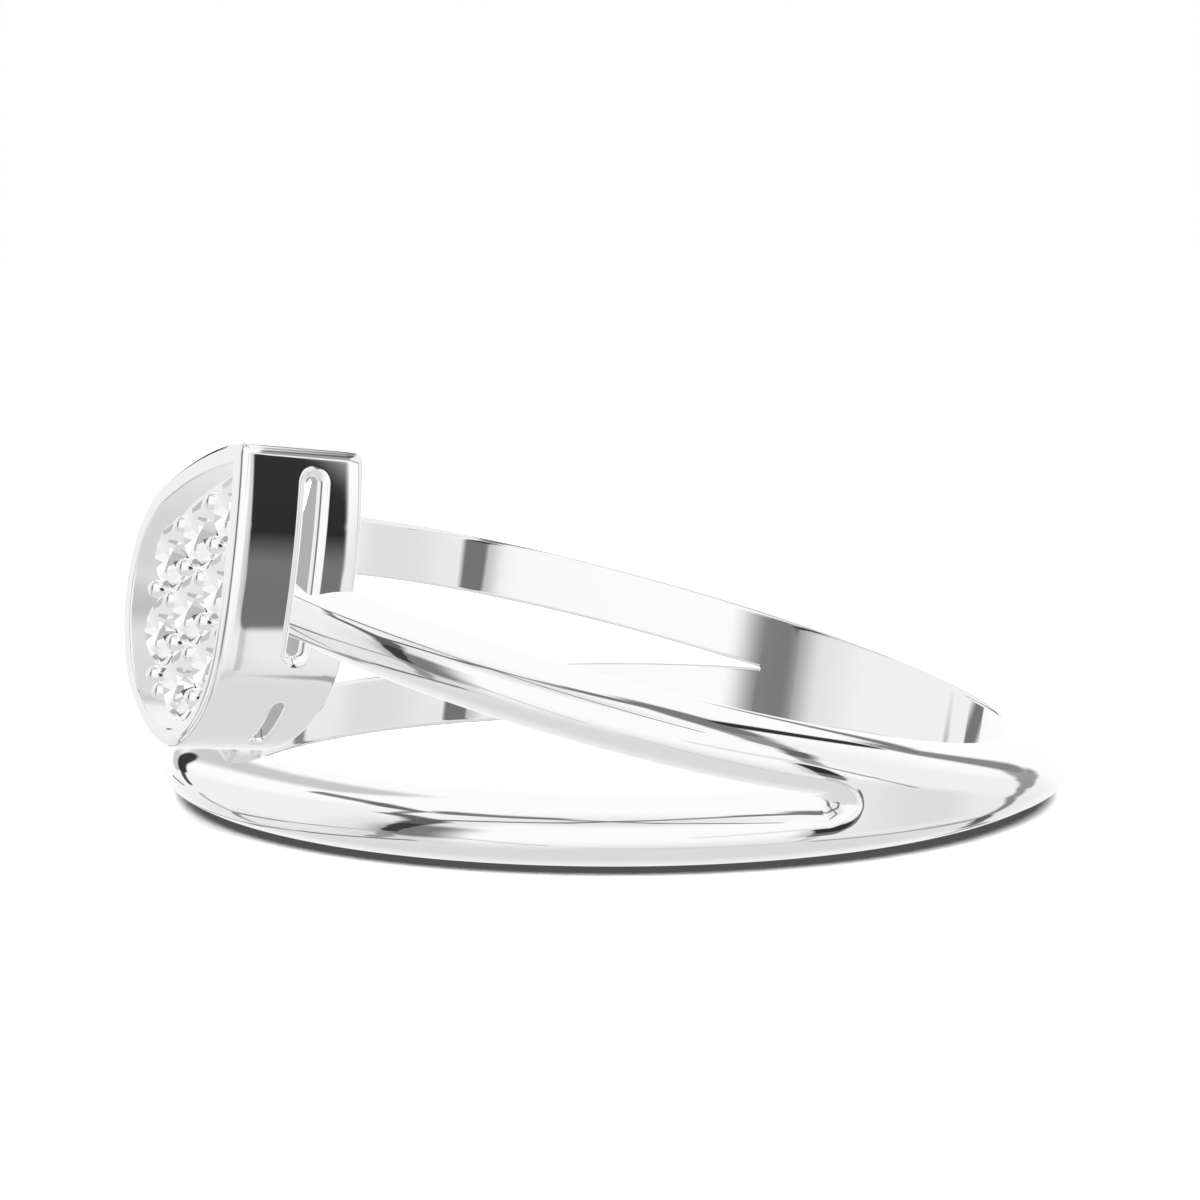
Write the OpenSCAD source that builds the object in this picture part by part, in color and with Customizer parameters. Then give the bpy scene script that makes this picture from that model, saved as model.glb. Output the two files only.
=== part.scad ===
// Split shank ring with a teardrop head of round brilliants, lying on its side.
// The origin is where the finger axis meets the surface that the ring lies on.
// +Z is up, and the head faces -X and a little -Y.

/* [Finger hole] */
// Radius of the finger hole
finger_r = 8.65; // [7.4:0.05:10.5]

/* [Branches] */
// Width of one branch along the finger
branch_w = 1.42; // [1.1:0.02:1.8]
// Thickness of a branch from the finger to its crest
branch_t = 1.39; // [1.1:0.01:1.7]
// Radius of the gentle arcs on the two sides of a branch
branch_side_r = 2.3; // [1.9:0.1:4]
// Angle between the two branches at the back of the ring
split_angle = 15; // [10:0.5:18]

/* [Teardrop head] */
// Width of the teardrop across its round end
head_w = 5.48; // [4.8:0.02:6.2]
// Length of the teardrop from its round end to its tip
head_len = 7.39; // [6.6:0.01:8.4]
// Where the flank leaves the round end, as an angle from the axis of the teardrop
flank_angle = 63; // [58:1:70]
// Height of the rim above the finger hole
head_rise = 2.25; // [2:0.05:2.8]
// Thickness of the wall round the head
wall_t = 0.36; // [0.3:0.02:0.5]
// Turn of the head round the finger, away from the middle of the split
head_turn = 31.5; // [0:0.5:40]
// Lean of the teardrop away from the finger axis
head_lean = 34; // [0:1:45]
// Place of the round end along the finger, above the middle of the band
head_up = 1.5; // [1:0.05:2]
// Width of the solder seat between the head and the lower branch
solder_w = 1.3; // [0.8:0.1:2]

/* [Seat plate] */
// Depth of the seat plate below the rim
pocket_depth = 0.5; // [0.4:0.05:0.7]
// Thickness of the seat plate
plate_t = 0.75; // [0.6:0.05:1]
// Radius of the light hole drilled under each stone
light_hole_r = 0.3; // [0.2:0.05:0.4]

/* [Gallery slots] */
// Width of the slots cut through the wall
slot_w = 0.28; // [0.2:0.02:0.4]
// Depth of the middle of the slots below the rim
slot_depth = 1.55; // [1.5:0.01:1.8]
// Width of the bridge between the two slots on each flank
bridge_w = 0.9; // [0.5:0.1:1.2]
// Place of that bridge, as an angle from the widest line towards the tip
bridge_turn = 15; // [5:1:30]
// Width of the bridge at the tip of the teardrop
tip_bridge = 0.7; // [0.5:0.1:1.2]
// Angle below the widest line where the lower slots end
slot_end_turn = 26; // [10:1:40]

/* [Stones] */
// Diameter of each round brilliant
stone_d = 1.5; // [1.2:0.02:1.54]
// Distance between the middles of neighbouring stones
stone_pitch = 1.6; // [1.56:0.01:1.66]
// Place of the long row of stones, from the middle of the round end towards the tip
stone_row = 0.1; // [0:0.05:0.2]
// Depth of a stone's girdle below the rim
girdle_depth = 0.34; // [0.3:0.01:0.6]
// Gap between a stone and its seat
seat_gap = 0.02; // [0.01:0.005:0.04]

/* [Bead prongs] */
// Radius of the ball at the end of a prong
bead_r = 0.19; // [0.15:0.01:0.22]
// Depth of the top of a prong below the rim
bead_depth = 0.02; // [0:0.01:0.2]

/* [Hidden] */
$fn = 96;

// Small overlap that joins two solids, and the run-out of a cut
join = 0.05;
// Overlap of the cuts that make up one seat
cut_join = 0.01;
// Extra metal inside the band, which the finger hole trims away
bore_trim = 0.4;
// Longer than the whole ring, for the finger hole and the cuts that run out
clear = 40;
// Reach to each side of the back, and height, of the cuts that file the back flush
file_reach = 4;
file_h = 2;

// The band
lean = split_angle / 2;
// A leaning circle of this radius keeps nearest to the round finger hole
ring_r = finger_r * 2 / (1 + cos(lean));
back_r = ring_r * cos(lean);
// The middle of the ring stands this far up the finger axis from the surface
centre_up = back_r * tan(lean) + branch_w / 2 / cos(lean);
// The nose arc of a branch meets both side arcs smoothly
nose_r = (2 * branch_side_r * branch_w / 2 - pow(branch_t, 2) - pow(branch_w / 2, 2))
       / (2 * (branch_side_r - branch_t));
nose_x = branch_t - nose_r;
nose_meets_x = branch_side_r * nose_x / (branch_side_r - nose_r);

// The teardrop, drawn with the middle of its round end at zero and its tip on +Y
round_r = head_w / 2;
tip_y = head_len - round_r;
// The flank arc runs on smoothly from the round end and passes through the tip
flank_extra = (pow(tip_y, 2) - pow(round_r, 2)) / (2 * (round_r - tip_y * cos(flank_angle)));
flank_r = round_r + flank_extra;
flank_x = flank_extra * sin(flank_angle);
flank_y = flank_extra * cos(flank_angle);

// The head, measured outwards from the finger axis
rim_out = finger_r + head_rise;
plate_top = rim_out - pocket_depth;
plate_back = plate_top - plate_t;
girdle_out = rim_out - girdle_depth;
slot_out = rim_out - slot_depth;
bead_out = rim_out - bead_depth - bead_r;
// The solder seat reaches from inside the head's wall into the lower branch
solder_foot = head_up - round_r - wall_t;
solder_out = 1;

// A round brilliant in shares of its diameter
table_share = 0.56;
star_share = 0.78;
crown_share = 0.16;
girdle_share = 0.03;
pavilion_share = 0.43;
lower_share = 0.35;
stone_r = stone_d / 2;
crown_h = crown_share * stone_d;
girdle_h = girdle_share * stone_d;
pavilion_h = pavilion_share * stone_d;
// These heights keep the eight kite-shaped facets above and below the girdle flat
star_h = crown_h * (1 - star_share * cos(22.5)) / (1 - table_share);
lower_h = pavilion_h * (1 - lower_share * cos(22.5));
slice_h = 0.001;

// Stones sit in rows across the teardrop, three in the longest
row_step = stone_pitch * sqrt(3) / 2;
function row_count(row) = 3 - abs(row);
function row_place(row, i) = [(i - (row_count(row) - 1) / 2) * stone_pitch,
                              stone_row + row * row_step];
stone_places = [for (row = [-1:2]) for (i = [0:row_count(row) - 1]) row_place(row, i)];

// Prongs stand in the gaps where three stones of the pattern would meet
third = row_step / 3;
// The pair under the last row stand close together
foot_bead_x = 0.24;
foot_bead_y = 2.02;
bead_places = concat(
    [for (i = [-1:1]) [i * stone_pitch, stone_row - row_step + third]],
    [for (i = [-1, 1]) [i * stone_pitch / 2, stone_row - third]],
    [for (i = [-1, 1]) [i * stone_pitch / 2, stone_row + third]],
    [for (i = [-1:1]) [i * stone_pitch, stone_row + 2 * third]],
    [[0, stone_row + row_step + third]],
    [for (i = [-1, 1]) [i * stone_pitch / 2, stone_row + row_step + 2 * third]],
    [[0, stone_row + 2 * row_step + 2 * third]],
    [for (i = [-1, 1]) [i * foot_bead_x, -foot_bead_y]]);

// Moves children from the ring's own frame to where the ring lies on its side
module lie_down() {
    rotate([0, lean, 0]) translate([0, 0, centre_up]) children();
}

// Half-round section of a branch, with its flat side towards the finger
module branch_section() {
    translate([ring_r - bore_trim, -branch_w / 2]) square([bore_trim + join, branch_w]);
    intersection() {
        translate([ring_r, -branch_w / 2]) square([nose_meets_x, branch_w]);
        translate([ring_r, branch_w / 2 - branch_side_r]) circle(branch_side_r);
        translate([ring_r, branch_side_r - branch_w / 2]) circle(branch_side_r);
    }
    translate([ring_r + nose_x, 0]) circle(nose_r);
}

// One branch: a whole loop that leans away from the other about the back of the ring
module branch(side) {
    translate([back_r, 0, 0]) rotate([0, side * lean, 0]) translate([-ring_r, 0, 0])
        rotate_extrude() branch_section();
}

// Both branches, with the back of the band filed flush with their outer sides
module band() {
    difference() {
        union() {
            branch(1);
            branch(-1);
        }
        for (side = [-1, 1])
            translate([back_r, 0, 0]) rotate([0, side * lean, 0])
                translate([0, 0, side * (branch_w + file_h) / 2])
                    cube([2 * file_reach, clear, file_h], center = true);
    }
}

// Teardrop outline, drawn in from its edge by the given amount
module teardrop(inset = 0) {
    circle(round_r - inset);
    intersection() {
        translate([-flank_x, -flank_y]) circle(flank_r - inset);
        translate([flank_x, -flank_y]) circle(flank_r - inset);
        translate([-head_w, round_r * cos(flank_angle)]) square([2 * head_w, head_len]);
    }
}

// Moves children to the head: X along its width, Y along its teardrop, Z out of the finger
module at_head() {
    rotate([90, 0, head_turn - 90]) translate([0, head_up, 0])
        rotate([0, 0, -head_lean]) children();
}

// Slots round the head, cut right through its wall except at the bridges and the round end
module gallery_slots() {
    translate([0, 0, slot_out - slot_w / 2]) linear_extrude(slot_w) difference() {
        square(2 * clear, center = true);
        teardrop(wall_t + join);
        for (turn = [bridge_turn, 180 - bridge_turn])
            rotate(turn) translate([0, -bridge_w / 2]) square([clear, bridge_w]);
        translate([-tip_bridge / 2, 0]) square([tip_bridge, clear]);
        polygon([[0, 0], for (turn = [-slot_end_turn, -90, slot_end_turn - 180])
            2 * clear * [cos(turn), sin(turn)]]);
    }
}

// The head's wall with its seat plate, open towards the finger
module head_cup() {
    difference() {
        linear_extrude(rim_out) teardrop();
        translate([0, 0, plate_top]) linear_extrude(clear) teardrop(wall_t);
        translate([0, 0, -join]) linear_extrude(plate_back + join) teardrop(wall_t);
        gallery_slots();
    }
}

// Round prong with a ball end
module bead_prong() {
    translate([0, 0, plate_top - join]) cylinder(h = bead_out - plate_top + join, r = bead_r, $fn = 24);
    translate([0, 0, bead_out]) sphere(bead_r, $fn = 24);
}

// Space that a stone and the gap round it need, with the light hole below
module seat_cut() {
    girdle_r = stone_r + seat_gap;
    translate([0, 0, girdle_out - pavilion_h - seat_gap])
        cylinder(h = pavilion_h + seat_gap, r1 = seat_gap, r2 = girdle_r, $fn = 48);
    translate([0, 0, girdle_out - cut_join]) cylinder(h = girdle_h + cut_join, r = girdle_r, $fn = 48);
    translate([0, 0, girdle_out + girdle_h - cut_join])
        cylinder(h = crown_h + join, r1 = girdle_r, r2 = table_share * stone_r + seat_gap, $fn = 48);
    translate([0, 0, plate_back - join]) cylinder(h = plate_t + join, r = light_hole_r, $fn = 48);
}

// Solder seat that carries the round end of the head on the lower branch
module solder_seat() {
    rotate([90, 0, head_turn - 90])
        translate([-solder_w / 2, solder_foot, finger_r - join])
            cube([solder_w, 2 * wall_t, solder_out]);
}

module split_shank_and_head() {
    color([0.9, 0.9, 0.91]) lie_down() difference() {
        union() {
            band();
            at_head() head_cup();
            at_head() for (place = bead_places) translate(place) bead_prong();
            solder_seat();
        }
        cylinder(h = clear, r = finger_r, center = true, $fn = 192);
        at_head() for (place = stone_places) translate(place) seat_cut();
    }
}

// Thin slice of the stone with its corners on one circle
module corner_slice(count, r, z, turn = 0) {
    translate([0, 0, z]) rotate(turn) linear_extrude(slice_h) circle(r, $fn = count);
}

// Round brilliant with its girdle's lower edge at zero
module brilliant() {
    hull() {
        corner_slice(8, table_share * stone_r, girdle_h + crown_h - slice_h);
        corner_slice(8, star_share * stone_r, girdle_h + star_h, 22.5);
        corner_slice(16, stone_r, girdle_h - slice_h);
        corner_slice(16, stone_r, 0);
        corner_slice(8, lower_share * stone_r, -lower_h, 22.5);
        corner_slice(8, slice_h, -pavilion_h);
    }
}

// Stone in its seat, by its place in the pattern
module stone(number) {
    color([0.96, 0.97, 1]) lie_down() at_head()
        translate([stone_places[number - 1][0], stone_places[number - 1][1], girdle_out]) brilliant();
}

split_shank_and_head();
stone(1);  // stone_1
stone(2);  // stone_2
stone(3);  // stone_3
stone(4);  // stone_4
stone(5);  // stone_5
stone(6);  // stone_6
stone(7);  // stone_7
stone(8);  // stone_8
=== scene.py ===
# %% [markdown]
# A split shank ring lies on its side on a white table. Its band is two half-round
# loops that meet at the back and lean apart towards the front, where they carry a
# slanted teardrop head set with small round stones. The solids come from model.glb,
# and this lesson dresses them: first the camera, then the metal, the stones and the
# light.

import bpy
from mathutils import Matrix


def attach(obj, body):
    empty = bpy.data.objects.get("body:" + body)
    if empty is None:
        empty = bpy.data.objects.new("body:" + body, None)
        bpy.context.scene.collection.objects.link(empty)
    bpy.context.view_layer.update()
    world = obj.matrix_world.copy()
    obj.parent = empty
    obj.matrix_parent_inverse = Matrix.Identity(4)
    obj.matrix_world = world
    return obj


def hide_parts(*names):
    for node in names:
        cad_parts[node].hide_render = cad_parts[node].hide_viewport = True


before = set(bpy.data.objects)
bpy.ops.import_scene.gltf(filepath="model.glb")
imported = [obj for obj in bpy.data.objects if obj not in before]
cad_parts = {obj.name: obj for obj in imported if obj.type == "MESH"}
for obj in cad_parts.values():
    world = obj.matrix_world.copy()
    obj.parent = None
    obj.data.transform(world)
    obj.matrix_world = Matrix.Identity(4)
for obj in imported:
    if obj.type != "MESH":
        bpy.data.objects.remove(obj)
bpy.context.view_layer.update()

# %% Bring in the tools
from math import acos, asin, cos, exp, hypot, pi, radians, sin, sqrt, tan

import bmesh
import bpy
from mathutils import Matrix, Vector

# %% [markdown]
# The pieces are worked at the bench in millimetres, in the ring's own frame: the
# finger axis is Z and the back of the ring is at +X. A finished piece is then laid
# down on its side and brought to metres in one step, so its place is in its mesh.
# The sizes repeat those of the solids.

# %% Sizes of the band and the head, in millimetres
FINGER_R = 8.65
BRANCH_W = 1.42
BRANCH_T = 1.39
SIDE_R = 2.3
LEAN = radians(7.5)

HEAD_W = 5.48
HEAD_LEN = 7.39
FLANK_ANGLE = radians(63)
HEAD_RISE = 2.25
WALL_T = 0.36
HEAD_TURN = radians(31.5)
HEAD_LEAN = radians(34)
HEAD_UP = 1.5

POCKET_DEPTH = 0.5
PLATE_T = 0.75
LIGHT_HOLE_R = 0.3
SLOT_W = 0.28
SLOT_DEPTH = 1.55

STONE_D = 1.5
STONE_PITCH = 1.6
STONE_ROW = 0.1
GIRDLE_DEPTH = 0.34
BEAD_R = 0.19
BEAD_DEPTH = 0.02

back_r = FINGER_R * 2 / (1 + cos(LEAN)) * cos(LEAN)
centre_up = back_r * tan(LEAN) + BRANCH_W / 2 / cos(LEAN)
rim_out = FINGER_R + HEAD_RISE
plate_top = rim_out - POCKET_DEPTH
plate_back = plate_top - PLATE_T
slot_out = rim_out - SLOT_DEPTH
girdle_out = rim_out - GIRDLE_DEPTH
bead_out = rim_out - BEAD_DEPTH - BEAD_R
print(f"the middle of the ring stands {centre_up:.3f} mm over the table")

# %% Places of the ring and the head
MM = 0.001
RING_TO_TABLE = (Matrix.Scale(MM, 4) @ Matrix.Rotation(LEAN, 4, "Y")
                 @ Matrix.Translation((0, 0, centre_up)))
TO_TURN = Matrix.Rotation(HEAD_TURN - pi / 2, 4, "Z") @ Matrix.Rotation(pi / 2, 4, "X")
HEAD_TO_RING = (TO_TURN @ Matrix.Translation((0, HEAD_UP, 0))
                @ Matrix.Rotation(-HEAD_LEAN, 4, "Z"))

# %% [markdown]
# The camera is set before anything is made, so every step can be judged in the same
# view. It looks nearly along the table with a long lens, as a product photographer
# does for a ring, and stands a little higher than the ring.

# %% Camera
bpy.ops.object.select_all(action="DESELECT")
CAMERA_AT = Vector((1.85, -63.07, 12.05)) * MM
CAMERA_BACK = Vector((0.0331, -0.9916, 0.1245)).normalized()
CAMERA_RIGHT = Vector((0.99945, 0.0333, 0)).normalized()
bpy.ops.object.camera_add(location=CAMERA_AT)
camera = bpy.context.object
camera.name = "camera"
camera_up = CAMERA_BACK.cross(CAMERA_RIGHT)
camera.matrix_world = Matrix.Translation(CAMERA_AT) @ Matrix(
    (CAMERA_RIGHT, camera_up, CAMERA_BACK)).transposed().to_4x4()
camera.data.lens = 84.84
camera.data.sensor_width = 36
camera.data.clip_start = 0.001
camera.data.clip_end = 20
bpy.context.scene.camera = camera

# %% [markdown]
# Small helpers repeat what hands do at the bench: put everything down, pick pieces up,
# finish their modifiers, join them, close their seams and open ends, and cut them.

# %% Helpers for picking, finishing, joining and cutting
SEAM_GAP = 0.0005


def put_down():
    """Nothing is selected and Blender is in object mode."""
    if bpy.context.object and bpy.context.object.mode != "OBJECT":
        bpy.ops.object.mode_set(mode="OBJECT")
    bpy.ops.object.select_all(action="DESELECT")


def pick(*pieces):
    """Only these pieces are selected, and the first is active."""
    put_down()
    for piece in pieces:
        piece.select_set(True)
    bpy.context.view_layer.objects.active = pieces[0]
    return pieces[0]


def finish_modifiers(piece):
    """Every modifier of the piece becomes part of its mesh."""
    pick(piece)
    for modifier in list(piece.modifiers):
        bpy.ops.object.modifier_apply(modifier=modifier.name)


def join(name, pieces):
    """The pieces become one, which has the name and its first piece's materials first."""
    pick(*pieces)
    bpy.ops.object.join()
    joined = bpy.context.object
    joined.name = joined.data.name = name
    return joined


def close_seams(piece):
    """Corners that lie on one another become one, and the faces point outwards."""
    pick(piece)
    bpy.ops.object.mode_set(mode="EDIT")
    bpy.ops.mesh.select_all(action="SELECT")
    bpy.ops.mesh.remove_doubles(threshold=SEAM_GAP)
    bpy.ops.mesh.normals_make_consistent(inside=False)
    put_down()


def fill_ends(piece):
    """Each open end of a piece gets one flat face."""
    pick(piece)
    bpy.ops.object.mode_set(mode="EDIT")
    bpy.ops.mesh.select_all(action="SELECT")
    bpy.ops.mesh.fill_holes(sides=0)
    put_down()
    close_seams(piece)


def count_open(name, piece):
    """Says how many edges of a closed piece don't lie between two faces."""
    mesh = bmesh.new()
    mesh.from_mesh(piece.data)
    count = sum(1 for edge in mesh.edges if len(edge.link_faces) != 2)
    mesh.free()
    print(f"{name}: {len(piece.data.polygons)} faces, {count} open edges")


def cut(piece, tool, operation):
    """Boolean with a tool that is used up."""
    pick(piece)
    modifier = piece.modifiers.new("cut", "BOOLEAN")
    modifier.operation = operation
    modifier.solver = "EXACT"
    modifier.object = tool
    finish_modifiers(piece)
    bpy.data.objects.remove(tool)


# %% [markdown]
# Most metal here is one outline carried along a path. A circle is added with as many
# corners as the outline has, its corners are laid on the outline, and the ring is
# extruded and laid again for each next section. Each corner remembers its place
# round the ring, because an extrude gives no promise about the order of its corners.

# %% Helper that extrudes a ring of corners from section to section
def lay_rings(name, rings):
    """A tube of faces through rings of as many corners each; its ends are open."""
    put_down()
    bpy.ops.mesh.primitive_circle_add(vertices=len(rings[0]), radius=1)
    piece = bpy.context.object
    piece.name = piece.data.name = name
    bpy.ops.object.mode_set(mode="EDIT")
    mesh = bmesh.from_edit_mesh(piece.data)
    place = mesh.verts.layers.int.new("place")
    row = mesh.verts.layers.int.new("row")
    for number, corner in enumerate(mesh.verts):
        corner[place] = number
        corner[row] = 0
        corner.co = rings[0][number]
    bmesh.update_edit_mesh(piece.data)
    for number, ring in enumerate(rings[1:], 1):
        bpy.ops.mesh.extrude_edges_indiv()
        mesh = bmesh.from_edit_mesh(piece.data)
        place = mesh.verts.layers.int["place"]
        row = mesh.verts.layers.int["row"]
        for corner in mesh.verts:
            if corner.select:
                corner.co = ring[corner[place]]
                corner[row] = number
        bmesh.update_edit_mesh(piece.data)
    put_down()
    return piece


# %% Helpers that delete faces and lay a piece down
def delete_faces(piece, unwanted):
    """Deletes the faces that a test picks by the rows and the places of their corners."""
    pick(piece)
    bpy.ops.object.mode_set(mode="EDIT")
    bpy.ops.mesh.select_mode(type="FACE")
    bpy.ops.mesh.select_all(action="DESELECT")
    mesh = bmesh.from_edit_mesh(piece.data)
    place = mesh.verts.layers.int["place"]
    row = mesh.verts.layers.int["row"]
    for face in mesh.faces:
        face.select_set(unwanted([corner[row] for corner in face.verts],
                                 [corner[place] for corner in face.verts]))
    bmesh.update_edit_mesh(piece.data)
    bpy.ops.mesh.delete(type="FACE")
    bpy.ops.mesh.select_mode(type="VERT")
    put_down()


def lay_down(piece, place=Matrix.Identity(4)):
    """Brings a piece from the bench to its place on the table."""
    piece.data.transform(RING_TO_TABLE @ place)
    piece.data.update()
    return piece


# %% [markdown]
# Each branch of the band is half-round: flat on the finger, gently rounded on its two
# sides, with a tighter crest, and with its inner edges polished over so they don't
# cut. Three arcs that meet smoothly give one half of that section.

# %% Half of the section of a branch
INNER_EDGE_R = 0.1
nose_r = ((2 * SIDE_R * BRANCH_W / 2 - BRANCH_T ** 2 - (BRANCH_W / 2) ** 2)
          / (2 * (SIDE_R - BRANCH_T)))
nose_x = BRANCH_T - nose_r
nose_meets_x = SIDE_R * nose_x / (SIDE_R - nose_r)


def steps(first, last, count):
    """count + 1 even steps from first to last."""
    return [first + (last - first) * i / count for i in range(count + 1)]


def half_outline(edge_steps, side_steps, nose_steps):
    """Corners as (out from the finger, along it), from the end of the flat to the crest."""
    half_w = BRANCH_W / 2
    outline = [(INNER_EDGE_R * (1 - cos(a)), half_w - INNER_EDGE_R * (1 - sin(a)))
               for a in steps(0, pi / 2, edge_steps)]
    side_from = asin(INNER_EDGE_R / SIDE_R)
    side_to = asin(nose_meets_x / SIDE_R)
    outline += [(SIDE_R * sin(a), half_w - SIDE_R * (1 - cos(a)))
                for a in steps(side_from, side_to, side_steps)[1:]]
    outline += [(nose_x + nose_r * cos(a), nose_r * sin(a))
                for a in steps(pi / 2 - side_to, 0, nose_steps)[1:]]
    return [(out, along / cos(LEAN)) for out, along in outline]


over_outline = half_outline(6, 18, 18)
under_outline = list(reversed(half_outline(24, 64, 56)))
print(f"half a section of {len(over_outline)} corners, crest radius {nose_r:.3f} mm")

# %% [markdown]
# The band is one half-round bar at the back. Further round it widens, a valley opens
# in its crest, the valley deepens to a notch, and from there on two branches run on
# apart. Each branch leans away from the middle in a straight line, so its rise grows
# with the distance from the back. The two halves mirror each other, so only the upper
# one is worked out: a row of corners from the inner side over the crest and down to
# the middle of the valley, or once round the branch where it has split.

# %% Corners of the upper half at one turn round the finger
NEAR_NOTCH_X = 3.75
FAR_NOTCH_X = 3.35
NOTCH_FADE = 1.0
VALLEY_LENGTH = 0.55
SUPPORT = 0.03
FLAT_STEPS = 7
UNDER_CORNERS = 30
UNDER_EDGE_CORNERS = 6
VALLEY_ROUND = 0.15
ROUND_BY = 0.4
HALF_BRANCH = BRANCH_W / 2 / cos(LEAN)


def point_at(points, lengths, reach):
    """The point that far along a line of points."""
    for i in range(1, len(points)):
        if reach <= lengths[i] or i == len(points) - 1:
            share = min((reach - lengths[i - 1]) / max(lengths[i] - lengths[i - 1], 1e-9), 1)
            return tuple(u + (v - u) * share for u, v in zip(points[i - 1], points[i]))


def respaced(points):
    """The line from the crest inwards with even corners, closer ones at its end."""
    lengths = [0]
    for (out_a, up_a), (out_b, up_b) in zip(points, points[1:]):
        lengths.append(lengths[-1] + hypot(out_b - out_a, up_b - up_a))
    whole = lengths[-1]
    edge = min(INNER_EDGE_R * pi / 2, whole / 4)
    reaches = steps(0, whole - edge, UNDER_CORNERS)[1:]
    reaches += steps(whole - edge, whole, UNDER_EDGE_CORNERS)[1:]
    return [point_at(points, lengths, reach) for reach in reaches]


def crossing(points):
    """The part of the line above the middle of the band, with the point where it gets there."""
    for i in range(1, len(points)):
        (out_a, up_a), (out_b, up_b) = points[i - 1], points[i]
        if up_b <= 0:
            share = up_a / (up_a - up_b)
            return points[:i] + [(out_a + (out_b - out_a) * share, 0)]
    return points


def upper_half(turn):
    """Corners as (out from the finger, up from the middle), and whether the band has split."""
    notch_x = NEAR_NOTCH_X if sin(turn) < 0 else FAR_NOTCH_X
    inner_x = FINGER_R * cos(turn)
    split = inner_x < notch_x - 1e-6

    def rise(out):
        return tan(LEAN) * (back_r - (FINGER_R + out) * cos(turn))

    # The side that faces the notch is a little slimmer there, so that it opens at its place
    slim = HALF_BRANCH - tan(LEAN) * (back_r - notch_x)
    slim *= exp(-max(notch_x - inner_x, 0) / NOTCH_FADE)
    over = [(out, up + rise(out) * (1 if rise(out) > 0 else up / HALF_BRANCH))
            for out, up in over_outline]
    under = [(out, rise(out) - up * (1 - slim / HALF_BRANCH)) for out, up in under_outline]
    if rise(BRANCH_T) <= 0:
        under = [(BRANCH_T, 0)] * (UNDER_CORNERS + UNDER_EDGE_CORNERS)
    elif split:
        under = respaced(under)
    else:
        line = crossing(under)
        low = line[-1][0]
        way = min((inner_x - notch_x) / VALLEY_LENGTH, 1)
        depth = (1 - way) ** 2 * (1 + way) * (BRANCH_T - low)
        soft = VALLEY_ROUND * min(way / ROUND_BY, 1)
        under = respaced([(BRANCH_T - depth * (sqrt(1 + soft ** 2) - sqrt(
            ((out - low) / (BRANCH_T - low)) ** 2 + soft ** 2)), up) for out, up in line])
    flat_from = under[-1][1] if split else 0
    flat_to = over[0][1]
    flat = [(0, flat_from)]
    flat += [(0, up) for up in steps(flat_from + SUPPORT, flat_to - SUPPORT, FLAT_STEPS)]
    return flat + over + under, split


# %% [markdown]
# The half is laid ring by ring round the finger, closer together at the notches. On
# the part that hasn't split the last strip of faces lies in the middle plane, inside
# the metal, so it is deleted before a mirror modifier adds the lower half.

# %% Shank
FAR_TURNS, NEAR_TURNS, NOTCH_TURNS = 132, 168, 44
NEAR_FROM = 3.8
NOTCH_REACH = 0.11
notches = [acos(FAR_NOTCH_X / FINGER_R), 2 * pi - acos(NEAR_NOTCH_X / FINGER_R)]
turns = steps(0, NEAR_FROM, FAR_TURNS)[:-1] + steps(NEAR_FROM, 2 * pi, NEAR_TURNS)
turns = [turn for turn in turns if all(abs(turn - notch) > NOTCH_REACH for notch in notches)]
for notch in notches:
    turns += steps(notch - NOTCH_REACH, notch + NOTCH_REACH, NOTCH_TURNS)
turns.sort()
halves = [upper_half(turn) for turn in turns]
rings = [[Vector(((FINGER_R + out) * cos(turn), (FINGER_R + out) * sin(turn), up))
          for out, up in half] for turn, (half, _) in zip(turns, halves)]
shank = lay_rings("shank", rings)
last_place = len(rings[0]) - 1


def in_middle_plane(face_rows, face_places):
    """Whether a face is in the last strip, where the band hasn't split."""
    return set(face_places) == {0, last_place} and not any(halves[row][1] for row in face_rows)


delete_faces(shank, in_middle_plane)
close_seams(shank)
mirror = shank.modifiers.new("lower half", "MIRROR")
mirror.use_axis = (False, False, True)
mirror.merge_threshold = SEAM_GAP
finish_modifiers(shank)
close_seams(shank)
count_open("shank", shank)

# %% [markdown]
# The head is a teardrop cup of thin wall. Its outline is a round end, two wide flank
# arcs that run on from it smoothly, and a tip whose ridge is polished over. Every
# arc knows its centre, so a point of the wall is found from how far along the
# outline it lies and how deep it lies under the outer face. Rounded edges look
# smaller than sharp ones, so the outer face stands a hair outside the solid's.

# %% Outline of the teardrop
RIDGE_R = 0.2
SKIN = -0.05
round_r = HEAD_W / 2
tip_y = HEAD_LEN - round_r
flank_extra = (tip_y ** 2 - round_r ** 2) / (2 * (round_r - tip_y * cos(FLANK_ANGLE)))
flank_r = round_r + flank_extra
flank_x = flank_extra * sin(FLANK_ANGLE)
flank_y = flank_extra * cos(FLANK_ANGLE)
flank_from = acos(flank_x / (flank_r - RIDGE_R))
flank_to = pi / 2 - FLANK_ANGLE
ridge_y = sqrt((flank_r - RIDGE_R) ** 2 - flank_x ** 2) - flank_y
# Each arc: centre, radius, first and last angle, clockwise from the tip
ARCS = [((0, ridge_y), RIDGE_R, pi / 2, flank_from),
        ((-flank_x, -flank_y), flank_r, flank_from, flank_to),
        ((0, 0), round_r, flank_to, -pi - flank_to),
        ((flank_x, -flank_y), flank_r, pi - flank_to, pi - flank_from),
        ((0, ridge_y), RIDGE_R, pi - flank_from, pi / 2)]
arc_lengths = [radius * abs(first - last) for _, radius, first, last in ARCS]
outline_length = sum(arc_lengths)


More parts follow.
